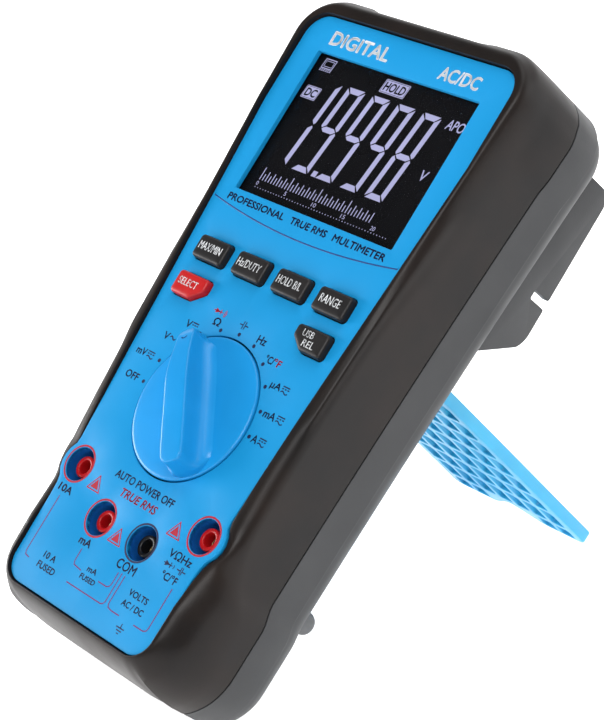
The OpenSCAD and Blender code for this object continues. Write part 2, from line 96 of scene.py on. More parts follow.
def new_material(name):
    """Material, its node tree, its shader and the object coordinates."""
    made = bpy.data.materials.new(name)
    made.use_nodes = True
    tree = made.node_tree
    coord = tree.nodes.new("ShaderNodeTexCoord").outputs["Object"]
    return made, tree, tree.nodes["Principled BSDF"], coord


def noise(tree, coord, size_mm, detail=3.0):
    node = tree.nodes.new("ShaderNodeTexNoise")
    set_inputs(node, {"Scale": 1000.0 / size_mm, "Detail": detail, "Roughness": 0.55})
    tree.links.new(coord, node.inputs["Vector"])
    return node.outputs["Fac"]


def spread(tree, value, low, high, socket):
    node = tree.nodes.new("ShaderNodeMapRange")
    set_inputs(node, {"From Min": 0.3, "From Max": 0.7, "To Min": low, "To Max": high})
    tree.links.new(value, node.inputs["Value"])
    tree.links.new(node.outputs["Result"], socket)


def two_tone(tree, value, first, second, socket, low=0.35, high=0.65):
    ramp = tree.nodes.new("ShaderNodeValToRGB")
    ends = ramp.color_ramp.elements
    ends[0].position, ends[0].color = low, (*first, 1)
    ends[1].position, ends[1].color = high, (*second, 1)
    tree.links.new(value, ramp.inputs["Fac"])
    tree.links.new(ramp.outputs["Color"], socket)


def moulded(name, first, second, rough, grain_mm=0.35, depth_mm=0.012, patch_mm=14.0,
            metal=0.0, coat=0.0, specular=0.5, settings=None):
    """Moulded or cast surface: faint colour patches, a fine grain and uneven gloss."""
    made, tree, shader, coord = new_material(name)
    two_tone(tree, noise(tree, coord, patch_mm), first, second, shader.inputs["Base Color"])
    grain = noise(tree, coord, grain_mm, 2.0)
    spread(tree, noise(tree, coord, patch_mm * 0.6), *rough, shader.inputs["Roughness"])
    bump = tree.nodes.new("ShaderNodeBump")
    set_inputs(bump, {"Strength": 1.0, "Distance": depth_mm * MM})
    tree.links.new(grain, bump.inputs["Height"])
    tree.links.new(bump.outputs["Normal"], shader.inputs["Normal"])
    set_inputs(shader, {"Metallic": metal, "Coat Weight": coat, "Coat Roughness": 0.15,
                        "Specular IOR Level": specular, **(settings or {})})
    return made


MATERIALS = {
    # Rubber in random patches of two tones; the browner, lighter tone is painted reflection,
    # standing in for the brownish sheen on the rubber
    "front_rubber": moulded(
        "soft_rubber", (0.0074, 0.0062, 0.0060), (0.0140, 0.0096, 0.0080), (0.33, 0.42), 0.45,
        0.012, 30, specular=0.18),
    "rear_plastic": moulded(
        "rear_moulding", (0.026, 0.027, 0.029), (0.032, 0.033, 0.035), (0.42, 0.52), 0.5, 0.02,
        22, specular=0.32),
    "blue_panel": moulded(
        "panel_blue", (0.0055, 0.222, 0.485), (0.0072, 0.238, 0.52), (0.46, 0.54), 0.3, 0.004, 40,
        specular=0.15),
    "blue_knob": moulded(
        "knob_blue", (0.006, 0.226, 0.54), (0.008, 0.244, 0.58), (0.28, 0.34), 0.6, 0.002, 18,
        coat=0.12, specular=0.25),
    "blue_stand": moulded(
        "stand_blue", (0.008, 0.32, 0.57), (0.013, 0.35, 0.60), (0.28, 0.38), 0.5, 0.004, 16,
        coat=0.1, settings={"Subsurface Weight": 0.25, "Subsurface Scale": 0.003}),
    "lcd_black": moulded(
        "display_black", (0.003, 0.003, 0.004), (0.004, 0.004, 0.005), (0.25, 0.3), 0.8, 0.001,
        20, specular=0.1),
    "light_guide": moulded("light_guide", (0.80, 0.84, 0.88), (0.86, 0.88, 0.9), (0.2, 0.3)),
    "white_plastic": moulded("natural_white", (0.80, 0.79, 0.74), (0.86, 0.85, 0.81), (0.4, 0.5)),
    "silicone": moulded("grey_silicone", (0.45, 0.47, 0.49), (0.52, 0.54, 0.55), (0.5, 0.6)),
    "key_grey": moulded(
        "key_rubber", (0.012, 0.0115, 0.012), (0.016, 0.0145, 0.0145), (0.34, 0.44), 0.3, 0.008,
        6, specular=0.2),
    "key_red": moulded(
        "key_red", (0.38, 0.006, 0.008), (0.42, 0.009, 0.009), (0.34, 0.44), 0.3, 0.006, 6,
        specular=0.3),
    "board_green": moulded(
        "solder_mask", (0.008, 0.10, 0.04), (0.012, 0.14, 0.06), (0.2, 0.3), 1.2, 0.01, 5,
        coat=0.3),
    "chip_black": moulded(
        "moulded_epoxy", (0.014, 0.014, 0.016), (0.022, 0.022, 0.024), (0.5, 0.6)),
    "component_blue": moulded("dipped_coating", (0.02, 0.08, 0.34), (0.04, 0.12, 0.44), (0.2, 0.3)),
    "red_insulator": moulded(
        "red_insulator", (0.36, 0.004, 0.006), (0.44, 0.006, 0.008), (0.28, 0.36), 0.4, 0.004, 5,
        specular=0.3),
    "black_insulator": moulded(
        "black_insulator", (0.005, 0.005, 0.006), (0.008, 0.008, 0.009), (0.28, 0.36), 0.4, 0.004,
        5, specular=0.3),
    # Brass darker than the metal is: painted shade for the contact tubes deep in the sockets
    "brass": moulded(
        "turned_brass", (0.34, 0.24, 0.11), (0.42, 0.31, 0.14), (0.30, 0.42), 0.2, 0.006, 3,
        metal=1.0),
    "steel": moulded(
        "plated_steel", (0.50, 0.50, 0.52), (0.62, 0.62, 0.64), (0.26, 0.38), 0.25, 0.006, 4,
        metal=1.0),
    "ceramic": moulded("fuse_ceramic", (0.80, 0.78, 0.70), (0.86, 0.84, 0.78), (0.35, 0.5)),
    "spring_bronze": moulded(
        "spring_bronze", (0.60, 0.40, 0.20), (0.70, 0.48, 0.26), (0.26, 0.36), 0.3, 0.005, 4,
        metal=1.0),
    "copper": moulded(
        "resistance_wire", (0.60, 0.34, 0.20), (0.70, 0.40, 0.25), (0.28, 0.4), 0.3, 0.005, 4,
        metal=1.0),
    "battery_skin": moulded(
        "battery_jacket", (0.018, 0.020, 0.030), (0.03, 0.032, 0.045), (0.25, 0.35)),
    "foot_rubber": moulded(
        "foot_rubber", (0.075, 0.078, 0.082), (0.092, 0.095, 0.10), (0.5, 0.62), 0.3, 0.015, 5),
}


def striped():
    """Alternating conductive and insulating layers."""
    made, tree, shader, coord = new_material("striped_connector")
    wave = tree.nodes.new("ShaderNodeTexWave")
    wave.bands_direction = "X"
    wave.inputs["Scale"].default_value = 600
    tree.links.new(coord, wave.inputs["Vector"])
    two_tone(tree, wave.outputs["Fac"], (0.7, 0.35, 0.4), (0.02, 0.02, 0.02),
             shader.inputs["Base Color"], 0.45, 0.55)
    shader.inputs["Roughness"].default_value = 0.6
    return made


def clear_sheet():
    made, tree, shader, coord = new_material("clear_acrylic")
    two_tone(tree, noise(tree, coord, 30), (0.010, 0.011, 0.012), (0.014, 0.015, 0.016),
             shader.inputs["Base Color"])
    spread(tree, noise(tree, coord, 20), 0.02, 0.05, shader.inputs["Roughness"])
    shader.inputs["Alpha"].default_value = 0.035
    return made


def glowing(name, colour, strength):
    """Backlit display ink, a little uneven across the panel."""
    made, tree, shader, coord = new_material(name)
    patches = noise(tree, coord, 25)
    two_tone(tree, patches, tuple(0.94 * c for c in colour), colour,
             shader.inputs["Emission Color"])
    two_tone(tree, patches, (0.04, 0.04, 0.06), (0.05, 0.05, 0.08), shader.inputs["Base Color"])
    set_inputs(shader, {"Emission Strength": strength, "Roughness": 0.6,
                        "Specular IOR Level": 0.0})
    return made


def ink(name, colour, rough=(0.4, 0.55)):
    return moulded(name, tuple(0.9 * c for c in colour), colour, rough, 0.25, 0.003, 3,
                   specular=0.3)


MATERIALS["conductive_rubber"] = striped()
MATERIALS["clear_window"] = clear_sheet()
SEGMENTS = glowing("display_segments", (0.44, 0.44, 0.70), 1.0)
NAVY = ink("navy_print", (0.006, 0.010, 0.055))
RED = ink("red_print", (0.34, 0.004, 0.022))
WHITE = ink("white_print", (0.74, 0.76, 0.78))
# Dark blue for the knob's mark, and for the raised panel line, where it is painted shade
LINE_BLUE = ink("panel_line", (0.002, 0.035, 0.17))
BRACKET = ink("bracket_print", (0.12, 0.010, 0.11))
# Panel blue made darker for the socket shrouds: painted shade inside the socket holes
SHROUD = moulded("shroud_blue_shaded", (0.006, 0.095, 0.36), (0.008, 0.110, 0.40), (0.34, 0.44),
                 0.3, 0.004, 6, specular=0.15)

for cad_node in NODES.values():
    slot_name = cad_node.data.materials[0].name.split(".")[0]
    for index in range(len(cad_node.data.materials)):
        cad_node.data.materials[index] = MATERIALS[slot_name]

# ---- mesh tools -----------------------


def piece(name, points, faces, slot, stands_for=(), body="case", material=None, place=CASE,
          sharp=38.0):
    """Piece from points in millimetres and faces. stands_for names the CAD nodes it replaces."""
    mesh = bpy.data.meshes.new(name)
    mesh.from_pydata([place @ Vector(p) for p in points], [], faces)
    return dress(name, mesh, slot, stands_for, body, material, sharp)


def dress(name, mesh, slot, stands_for, body="case", material=None, sharp=38.0, tidy=True):
    """Object from a mesh, in the material of its slot unless another is given."""
    if tidy:
        welded(mesh, 2e-7)
    mesh.materials.clear()
    mesh.materials.append(material or MATERIALS[slot])
    smoothed(mesh, sharp)
    made = linked(name, mesh)
    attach(made, body)
    if stands_for:
        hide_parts(*stands_for)
    return made


def grid_faces(rings, count, wrap_rings=False):
    faces = []
    for j in range(rings if wrap_rings else rings - 1):
        a, b = j * count, ((j + 1) % rings) * count
        for k in range(count):
            n = (k + 1) % count
            faces.append((a + k, a + n, b + n, b + k))
    return faces


def linked(name, data):
    """New object in the scene."""
    made = bpy.data.objects.new(name, data)
    bpy.context.scene.collection.objects.link(made)
    return made


def welded(mesh, distance):
    """Joins points closer than distance, in metres, and turns all faces outwards."""
    bm = bmesh.new()
    bm.from_mesh(mesh)
    bmesh.ops.remove_doubles(bm, verts=bm.verts, dist=distance)
    bmesh.ops.dissolve_degenerate(bm, edges=bm.edges, dist=1e-7)
    bmesh.ops.recalc_face_normals(bm, faces=bm.faces)
    bm.to_mesh(mesh)
    bm.free()


def smoothed(mesh, sharp):
    mesh.shade_smooth()
    mesh.set_sharp_from_angle(angle=radians(sharp))


def capped(rings, count):
    """Faces of a tube of rings, closed at both ends."""
    top = (rings - 1) * count
    return grid_faces(rings, count) + [tuple(range(count)), tuple(range(top, top + count))]


def lathe(profile, centre=(0, 0), steps=64):
    """Surface of revolution about Z from (radius, height) pairs."""
    points = [(x, y, height) for radius, height in profile
              for x, y in circle(*centre, radius, steps)]
    return points, grid_faces(len(profile), steps)


def merged(*parts):
    points, faces = [], []
    for some_points, some_faces in parts:
        start = len(points)
        points += [tuple(p) for p in some_points]
        faces += [tuple(i + start for i in f) for f in some_faces]
    return points, faces


def rounded(x0, x1, y0, y1, r, steps=6):
    """Rounded rectangle, anticlockwise from its lower right corner."""
    return (arc(x1 - r, y0 + r, r, -90, 0, steps) + arc(x1 - r, y1 - r, r, 0, 90, steps)
            + arc(x0 + r, y1 - r, r, 90, 180, steps) + arc(x0 + r, y0 + r, r, 180, 270, steps))


def mitre(e1, e2, least):
    """Way between the left sides of two edges, and the share of an offset it covers."""
    n1, n2 = Vector((-e1.y, e1.x)), Vector((-e2.y, e2.x))
    way = (n1 + n2).normalized()
    return way, max(way.dot(n1), least)


def moved_in(outline, d):
    """Closed anticlockwise outline moved in by d along its corner bisectors."""
    out = []
    for k, (x, y) in enumerate(outline):
        before, after = outline[k - 1], outline[(k + 1) % len(outline)]
        way, share = mitre(Vector((x - before[0], y - before[1])).normalized(),
                           Vector((after[0] - x, after[1] - y)).normalized(), 0.35)
        out.append((x + way.x * (d / share), y + way.y * (d / share)))
    return out


def stack(outlines):
    """Closed solid from (outline, height) rings, capped at both ends."""
    points = [(x, y, z) for outline, z in outlines for x, y in outline]
    return points, capped(len(outlines), len(outlines[0][0]))


def add_loop(bm, outline, z):
    return [bm.verts.new((x, y, z(y) if callable(z) else z)) for x, y in outline]


def add_skirt(bm, first, second):
    for a, b, c, d in zip(first, first[1:] + first[:1], second[1:] + second[:1], second):
        bm.faces.new((a, b, c, d))


def loop_edges(bm, verts):
    pairs = zip(verts, verts[1:] + verts[:1])
    return [bm.edges.get(pair) or bm.edges.new(pair) for pair in pairs]


def evaluated_mesh(owner):
    graph = bpy.context.evaluated_depsgraph_get()
    return bpy.data.meshes.new_from_object(owner.evaluated_get(graph))


# ---- flat print -----------------------


class Print:
    """Flat shapes in one ink, gathered into one piece."""

    def __init__(self):
        self.points, self.faces = [], []

    def add(self, outline):
        start = len(self.points)
        self.points += outline
        self.faces.append(tuple(range(start, start + len(outline))))

    def ring(self, x, y, inner, outer, start=0.0, end=360.0, steps=72):
        for k in range(steps):
            a, b = (radians(start + (end - start) * i / steps) for i in (k, k + 1))
            corners = ((outer, a), (outer, b), (inner, b), (inner, a))
            self.add([(x + r * cos(t), y + r * sin(t)) for r, t in corners])

    def line(self, path, width):
        """Line of even width through the path's points, with mitred bends."""
        n = len(path)
        sides = []
        for k in range(n):
            before = Vector(path[max(k - 1, 0)])
            here, after = Vector(path[k]), Vector(path[min(k + 1, n - 1)])
            e1 = (here - before) if k else (after - here)
            e2 = (after - here) if k < n - 1 else (here - before)
            way, share = mitre(e1.normalized(), e2.normalized(), 0.4)
            reach = width / 2 / share
            sides.append((here + way * reach, here - way * reach))
        for k in range(n - 1):
            (a, b), (c, d) = sides[k], sides[k + 1]
            self.add([tuple(b), tuple(d), tuple(c), tuple(a)])

    def strokes(self, width, *ends):
        for x0, y0, x1, y1 in ends:
            self.line([(x0, y0), (x1, y1)], width)

    def word(self, text, left, right, low, high, weight=0.0, slope=0.0):
        """Lettering fitted to a box. weight thickens its strokes, in mm, and slope leans it."""
        curve = bpy.data.curves.new("letters", "FONT")
        curve.body = text
        curve.resolution_u = 3
        letters = linked("letters", curve)
        bpy.context.view_layer.update()
        mesh = evaluated_mesh(letters)
        flat = np.array([v.co[:2] for v in mesh.vertices])
        lowest = flat.min(0)
        scale = np.array([right - left, high - low]) / (flat.max(0) - lowest)
        placed = (flat - lowest) * scale
        placed[:, 0] += slope * (placed[:, 1] - (high - low) / 2) + left
        placed[:, 1] += low
        shifts = [(0, 0)]
        if weight:
            shifts += [(weight, 0), (-weight, 0), (0, weight), (0, -weight)]
        for dx, dy in shifts:
            start = len(self.points)
            self.points += [(x + dx, y + dy) for x, y in placed]
            self.faces += [tuple(start + i for i in f.vertices) for f in mesh.polygons]
        bpy.data.objects.remove(letters)
        bpy.data.curves.remove(curve)
        bpy.data.meshes.remove(mesh)

    def place(self, name, height, material, slot):
        points = [(x, y, height) for x, y in self.points]
        return piece(name, points, self.faces, slot, material=material)


# ---- case outlines --------------------

TOP, BOTTOM = 126.0, -73.0
PARTING = -24.5
PANEL_TOP, PANEL_BOTTOM = 120.0, -66.0
SOCKETS = [(-28.575, -29.03), (-9.525, -39.10), (9.525, -39.10), (28.575, -29.03)]
BOSS_R, SHROUD_R, TUBE_R = 7.5, 5.1, 6.5
KNOB_HOLE_R, DIAL_R = 22.1, 23.72

STATIONS = (
    [("bottom", k / 8) for k in range(8)]
    + [("low", k / 12) for k in range(12)]
    + [("side", k / 84) for k in range(84)]
    + [("high", k / 12) for k in range(12)]
    + [("top", k / 8) for k in range(9)]
)


def half_at(y):
    return 41.2 + 0.040 * y + 0.00015 * y * y


def rounded_at(kind, t, low_x, low_y, low_r, high_x, high_y, high_r):
    """Station on a right half outline, by its corners' centres and radii, except on its side."""
    if kind == "bottom":
        return Vector((low_x * t, low_y - low_r))
    if kind == "top":
        return Vector((high_x * (1 - t), high_y + high_r))
    x, y, r = (low_x, low_y, low_r) if kind == "low" else (high_x, high_y, high_r)
    a = radians(90 * t - 90 if kind == "low" else 90 * t)
    return Vector((x + r * cos(a), y + r * sin(a)))


def outer_at(kind, t, inset=0.0):
    """Point of the case outline at a station, moved in by inset, and the way out there."""
    low_r, high_r = 16, 14
    low_y, high_y = BOTTOM + low_r, TOP - high_r
    turns = {"bottom": -90, "low": 90 * t - 90, "side": 0, "high": 90 * t, "top": 90}
    a = radians(turns[kind])
    way = Vector((cos(a), sin(a)))
    if kind == "side":
        y = low_y + (high_y - low_y) * t
        return Vector((half_at(y) - inset, y)), way
    return rounded_at(kind, t, half_at(low_y) - low_r, low_y, max(low_r - inset, 1.0),
                      half_at(high_y) - high_r, high_y, max(high_r - inset, 1.0)), way


def panel_at(kind, t, grow=0.0):
    """Point of the panel outline at a station, grown by grow."""
    low_r, high_r = 7.0 + grow, 7.5 + grow
    low_y, high_y = PANEL_BOTTOM - grow + low_r, PANEL_TOP + grow - high_r
    if kind != "side":
        return rounded_at(kind, t, 32.5 + grow - low_r, low_y, low_r,
                          42.8 + grow - high_r, high_y, high_r)
    y = low_y + (high_y - low_y) * t
    x = along([(-59, 32.5), (-40, 32.8), (90, 42.8), (112, 42.8)], y) + grow
    socket_x, socket_y = SOCKETS[3]
    reach = (BOSS_R + grow) ** 2 - (y - socket_y) ** 2
    if reach > 0:
        x = max(x, socket_x + sqrt(reach))
    return Vector((x, y))


def pad(point, way):
    """How far the corner bumpers stand out at the parting line, and lower down."""
    x, y = abs(point.x), point.y
    side = ease(97, 102, y) * (0.62 if abs(way.y) < 0.5 else 0.95 * ease(22, 25.5, x))
    low = 2.0 * ease(-35, -43, y) if way.y > -0.9 else 0.0
    return side, low


def station_ring(make):
    """Closed ring from make(kind, t), which gives the right half, station by station."""
    right = [make(kind, t) for kind, t in STATIONS]
    return right + [(-p[0], *p[1:]) for p in reversed(right[1:-1])]


def closed_tube(rings):
    points = [p for ring in rings for p in ring]
    return points, grid_faces(len(rings), len(rings[0]), wrap_rings=True)


# Height of the rim crest, depth where the rounding ends and squareness of the rounding,
# along the side from the bottom to the top
CREST = [(-57, 0.9), (-47, 0.8), (-40, -0.1), (-34, -1.0), (-29, -1.2), (-24, -0.8), (-20, -0.2),
         (-8, 0.5), (10, 0.9), (60, 1.2), (85, 1.35), (112, 1.4)]
ROUND_END = [(-57, -19), (-50, -18), (-43, -16), (-35, -10), (-28, -6.5), (-21, -4.8), (-4, -4.4),
             (13, -3.6), (37, -4.4), (52, -6.6), (65, -10.3), (79, -12.8), (93, -15.3),
             (112, -16.5)]
SQUARE = [(-57, 2.0), (-35, 2.1), (0, 2.2), (60, 2.5), (85, 2.9), (100, 3.3), (112, 3.6)]


def rim_shape(kind, t, y):
    if kind == "bottom":
        return 0.55, -20.0, 1.5
    if kind == "low":
        return 0.55 + 0.35 * t, -20 + t, 1.5 + 0.4 * t
    if kind == "high":
        return 1.4, -16.5 + 4.5 * t, 3.6 + 0.9 * t
    if kind == "top":
        return 1.4, -12.0, 4.5
    return along(CREST, y), along(ROUND_END, y), along(SQUARE, y)


def front_shell():
    inside, rim_gap, land, steps = -2.6, 0.35, 0.35, 20

    def outer(kind, t, z, out=0.0):
        """Point of the outer wall at a depth, moved out by out."""
        point, way = outer_at(kind, t)
        high_pad, low_pad = pad(point, way)
        depth = ease(-8, -19, z)
        depth += (ease(0.5, -3, z) - ease(-8, -19, z)) * ease(0.3, 0.8, way.y)
        return point + way * (high_pad * depth + low_pad * ease(2, -6, z) + out)

    def at(z, out=0.0):
        def make(kind, t):
            p = outer(kind, t, z, out)
            return (p.x, p.y, z)
        return station_ring(make)

    def rounding(j):
        """Ring j of the rounding from the wall up to the rim, with the swell in the grip."""
        def make(kind, t):
            point, _ = outer_at(kind, t)
            panel = panel_at(kind, t, rim_gap)
            crest, end, square = rim_shape(kind, t, point.y)
            by_boss = 0.8 * exp(-((point.y + 29) / 7) ** 2) * (kind == "side")
            a = radians(90 * j / steps)
            rise = sin(a) ** (2 / square)
            z = end + (crest - end) * rise
            base = outer(kind, t, z)
            top = panel + (base - panel) * ((land + by_boss) / (point - panel).length)
            p = top + (base - top) * cos(a) ** (2 / square)
            if kind == "side":
                swell = 0.55 * ease(80, 74, point.y) * ease(4, 16, point.y)
                swell *= exp(-((rise - 0.72) / 0.16) ** 2)
                p = p + Vector((0.6 * swell, 0))
                z += 0.8 * swell
            return (p.x, p.y, z)
        return station_ring(make)

    def by_panel(grow, drop=None, z=0.0):
        """Ring round the panel, at a drop below the rim's crest or at a height."""
        def make(kind, t):
            p = panel_at(kind, t, grow)
            crest = rim_shape(kind, t, outer_at(kind, t)[0].y)[0]
            return (p.x, p.y, z if drop is None else crest - drop)
        return station_ring(make)

    def shoulder(kind, t):
        p, q = panel_at(kind, t, 0.5), outer(kind, t, -8.0, inside)
        m = p + (q - p) * 0.35
        return (m.x, m.y, -5.6)

    rings = [at(PARTING + 0.10, inside), at(PARTING + 0.12, -1.3), at(PARTING + 0.20, -0.12),
             at(PARTING + 0.34), at(-23.0), at(-22.0)]
    rings += [rounding(j) for j in range(steps + 1)]
    rings += [by_panel(0.52, 0.0), by_panel(0.40, 0.04), by_panel(rim_gap, 0.22),
              by_panel(rim_gap, z=-2.6), by_panel(rim_gap, z=-3.4), station_ring(shoulder),
              at(-20.5, inside)]
    return closed_tube(rings)


# Recess for the stand in the back (half width, low end, high end, depth of its floor) and
# the opening for the battery cover in that floor
RECESS = (30.2, -64.4, 45.8, -40.6)
COVER = (16.2, -19.2, 42.2)


def box_at(kind, t, half, low, high, r=1.2):
    """Point of a centred rectangle at a station."""
    if kind == "side":
        return Vector((half, low + r + (high - low - 2 * r) * t))
    return rounded_at(kind, t, half - r, low + r, r, half - r, high - r, r)


def rear_shell():
    half, low, high, floor = RECESS
    recess = (half, low, high)
    steps = 12

    def wall(z, reach, high_share=1.0, low_share=1.0, most=None):
        """Ring at depth z, moved in by reach, with shares of the bumpers."""
        def make(kind, t):
            # the recess comes nearer to the lower end than to the sides
            limit = {"bottom": most, "low": most + 1.7 * t}.get(kind, reach) if most else reach
            point, way = outer_at(kind, t)
            moved, _ = outer_at(kind, t, min(reach, limit))
            high_pad, low_pad = pad(point, way)
            p = moved + way * (high_pad * high_share + low_pad * low_share)
            return (p.x, p.y, z)
        return station_ring(make)

    def box_ring(size, z, grow=0.0):
        def make(kind, t):
            p = box_at(kind, t, size[0] + grow, size[1] - grow, size[2] + grow)
            return (p.x, p.y, z)
        return station_ring(make)

    rings = [wall(*row) for row in (
        (PARTING - 0.10, 2.9), (PARTING - 0.12, 1.3), (PARTING - 0.20, 0.12),
        (PARTING - 0.34, 0.0), (-27.0, 0.0), (-35.2, 0.0), (-35.42, 0.0, 0.92, 0.97),
        (-35.52, 0.0, 0.7, 0.9), (-35.56, 0.02, 0.1, 0.7), (-35.9, 0.05, 0.04, 0.66))]
    for j in range(1, steps + 1):
        a = radians(90 * j / steps)
        rings.append(wall(-35.9 - 9.1 * sin(a), 0.05 + 9.5 * (1 - cos(a)), 0.04,
                          0.66 - 0.3 * j / steps, 7.9))
    rings += [box_ring(*row) for row in (
        (recess, -45.0, 0.35), (recess, -44.9, 0.12), (recess, -44.6), (recess, floor - 0.25),
        (recess, floor, -0.3), (COVER, floor, 0.25), (COVER, floor + 0.25),
        (COVER, floor + 2.2), (recess, floor + 2.2))]
    rings += [wall(-37.6, 9.0, 0.0, 0.0), wall(-34.0, 3.4, 0.0, 0.0)]
    return closed_tube(rings)


def carve(target, cutters):
    """Cuts solids out of a piece, in one boolean step."""
    tool_mesh = bpy.data.meshes.new("cutter")
    points, faces = merged(*cutters)
    tool_mesh.from_pydata([CASE @ Vector(p) for p in points], [], faces)
    welded(tool_mesh, 1e-7)
    tool = linked("cutter", tool_mesh)
    step = target.modifiers.new("cut", "BOOLEAN")
    step.operation = "DIFFERENCE"
    step.solver = "MANIFOLD"
    step.object = tool
    bpy.context.view_layer.update()
    result = evaluated_mesh(target)
    target.modifiers.clear()
    target.data = result
    bpy.data.objects.remove(tool)
    smoothed(result, 38)


def bored(x, y, r, low, high, steps=40):
    return stack([(circle(x, y, r, steps), z) for z in (low, high)])


CASE_SCREWS = [(-27, 116.5), (27, 116.5), (-27, -60), (27, -60)]
FEET = [(-33, -35), (33, -35)]

piece("front_cover", *front_shell(), "front_rubber", ["front_shell"])
back = piece("rear_cover", *rear_shell(), "rear_plastic", ["rear_shell"])


def pin_hole(side):
    """Cutter for a hole across the wall of the recess, on the stand's hinge axis."""
    ends = sorted((side * 29.6, side * 31.5))
    points = [(x, y, z) for x in ends for y, z in circle(HINGE.y, HINGE.z, 1.6, 24)]
    return points, capped(2, 24)


carve(back, [bored(x, y, 3.2, -50, -33.5) for x, y in CASE_SCREWS]
      + [bored(x, y, 3.65, -50, -43) for x, y in FEET] + [pin_hole(side) for side in (-1, 1)])


# Four walls that hold a pair of test probes on the back


def holder_wall(x0, x1, split):
    low, high, deep, start = 55.5, 115.4, -62.8, -44.2
    side = [(low - 1.6, start), (low, -48.0)] + arc(low + 13, deep + 8, 8, 225, 270, 10)
    if split:
        a, b, slot = 78 - 1.3, 78 + 1.3, 7.5
        side += [(a - 0.8, deep), (a - 0.15, deep + 0.2), (a, deep + 1.0), (a, deep + 7.2),
                 (a + 0.3, deep + slot), (b - 0.3, deep + slot), (b, deep + 7.2),
                 (b, deep + 1.0), (b + 0.15, deep + 0.2), (b + 0.8, deep)]
    side += arc(high - 5, deep + 5, 5, 270, 360, 10) + [(high, start)]
    inner, middle = moved_in(side, 0.45), moved_in(side, 0.14)
    rings = [(x0, inner), (x0 + 0.14, middle), (x0 + 0.5, side), (x1 - 0.5, side),
             (x1 - 0.14, middle), (x1, inner)]
    return [(x, y, z) for x, shape in rings for y, z in shape], capped(len(rings), len(side))


walls = []
for sign in (-1, 1):
    for near, far in ((34.7, 37.0), (20.4, 22.7)):
        x0, x1 = sorted((sign * near, sign * far))
        walls.append(holder_wall(x0, x1, near > 30))
piece("probe_holders", *merged(*walls), "rear_plastic", sharp=50)

# Rubber feet low on the back
foot = [(0, -43.2), (3.45, -43.2), (3.5, -45.0), (3.5, -46.6), (3.42, -47.2), (3.15, -47.9),
        (2.6, -48.35), (1.6, -48.58), (0, -48.6)]
piece("back_feet", *merged(*(lathe(foot, f, 40) for f in FEET)), "foot_rubber", ["rear_feet"])

# Battery cover with a grooved thumb grip and sunk screws


def battery_cover():
    floor = RECESS[3]
    outline = rounded(-15.9, 15.9, -18.9, 41.9, 1.0)
    return stack([(outline, floor + 2.0), (outline, floor + 0.3),
                  (moved_in(outline, 0.12), floor + 0.08), (moved_in(outline, 0.4), floor)])


def grip_groove(k):
    """Cutter for one groove of the thumb grip."""
    y, w = 34.0 - 2.1 * k, 9.5 - abs(k - 2.5) * 0.9
    bar = rounded(-w, w, y - 0.45, y + 0.45, 0.44, 3)
    return stack([(bar, -42.0), (bar, -39.9)])


cover = piece("battery_door", *battery_cover(), "rear_plastic", ["battery_cover"])
carve(cover, [bored(x, -14.8, 2.7, -44, -39.3) for x in (-10, 10)]
      + [grip_groove(k) for k in range(6)])

# ---- front panel ----------------------

WINDOW = (-33.4, 33.4, 62.0, 108.9)
KEYS = [("key_maxmin", -26.175, 42, 0), ("key_duty", -8.725, 42, 0), ("key_hold", 8.725, 42, 0),
        ("key_range", 26.175, 42, 0), ("key_select", -26.175, 30.1, 1),
        ("key_rel", 26.175, 30.1, -1)]


def key_outline(grow, cut):
    """Key outline grown by grow, with its lower corner cut off on the side cut."""
    w, h, r, c = 6.45 + grow, 3.6 + grow, max(1.2 + grow, 0.3), 4.2

    def clipped(side):
        # small round at each end of the cut
        top, foot = h - 3.0 - 1.44 * grow, w - 1.1 * c - 0.62 * grow
        shape = [(side * w, top), (side * (w - 0.06), top - 0.45), (side * (w - 0.35), top - 0.95),
                 (side * (foot + 0.45), -h + 0.45), (side * foot, -h + 0.1),
                 (side * (foot - 0.5), -h)]
        return shape if side < 0 else shape[::-1]

    out = arc(w - r, h - r, r, 0, 90, 6) + arc(-w + r, h - r, r, 90, 180, 6)
    out += clipped(-1) if cut < 0 else arc(-w + r, -h + r, r, 180, 270, 6)
    out += clipped(1) if cut > 0 else arc(w - r, -h + r, r, 270, 360, 6)
    return out


def front_panel():
    bm = bmesh.new()

    def rim(grow, z):
        return add_loop(bm, station_ring(lambda kind, t: tuple(panel_at(kind, t, grow))), z)

    def window(g):
        left, right, low, high = WINDOW
        return rounded(left - g, right + g, low - g, high + g, 0.5 + g, 4)

    outer = [rim(0.0, -1.5), rim(0.0, -0.35), rim(-0.12, -0.12), rim(-0.55, -0.03),
             rim(-0.75, 0.0)]
    holes = []
    for shape in (
        window,
        lambda g: circle(0, 0, KNOB_HOLE_R + g, 128),
        *[lambda g, s=s: circle(*s, SHROUD_R + g, 64) for s in SOCKETS],
        *[lambda g, k=k: [(x + k[1], y + k[2]) for x, y in key_outline(0.28 + g, k[3])]
          for k in KEYS],
    ):
        holes.append([add_loop(bm, shape(g), z)
                      for g, z in ((0.22, 0.0), (0.07, -0.06), (0.0, -0.25), (0.0, -1.5))])
    for rings in [outer] + holes:
        for a, b in zip(rings, rings[1:]):
            add_skirt(bm, a, b)
    for rim_ring, index in ((outer[-1], 0), (outer[0], 3)):
        edges = loop_edges(bm, rim_ring)
        for rings in holes:
            edges += loop_edges(bm, rings[index])
        bmesh.ops.triangle_fill(bm, use_beauty=True, use_dissolve=False, edges=edges,
                                normal=(0, 0, 1))
    mesh = bpy.data.meshes.new("panel")
    bmesh.ops.recalc_face_normals(bm, faces=bm.faces)
    bm.to_mesh(mesh)
    bm.free()
    mesh.transform(CASE)
    return dress("printed_panel", mesh, "blue_panel", ["front_panel"], sharp=25, tidy=False)


front_panel()

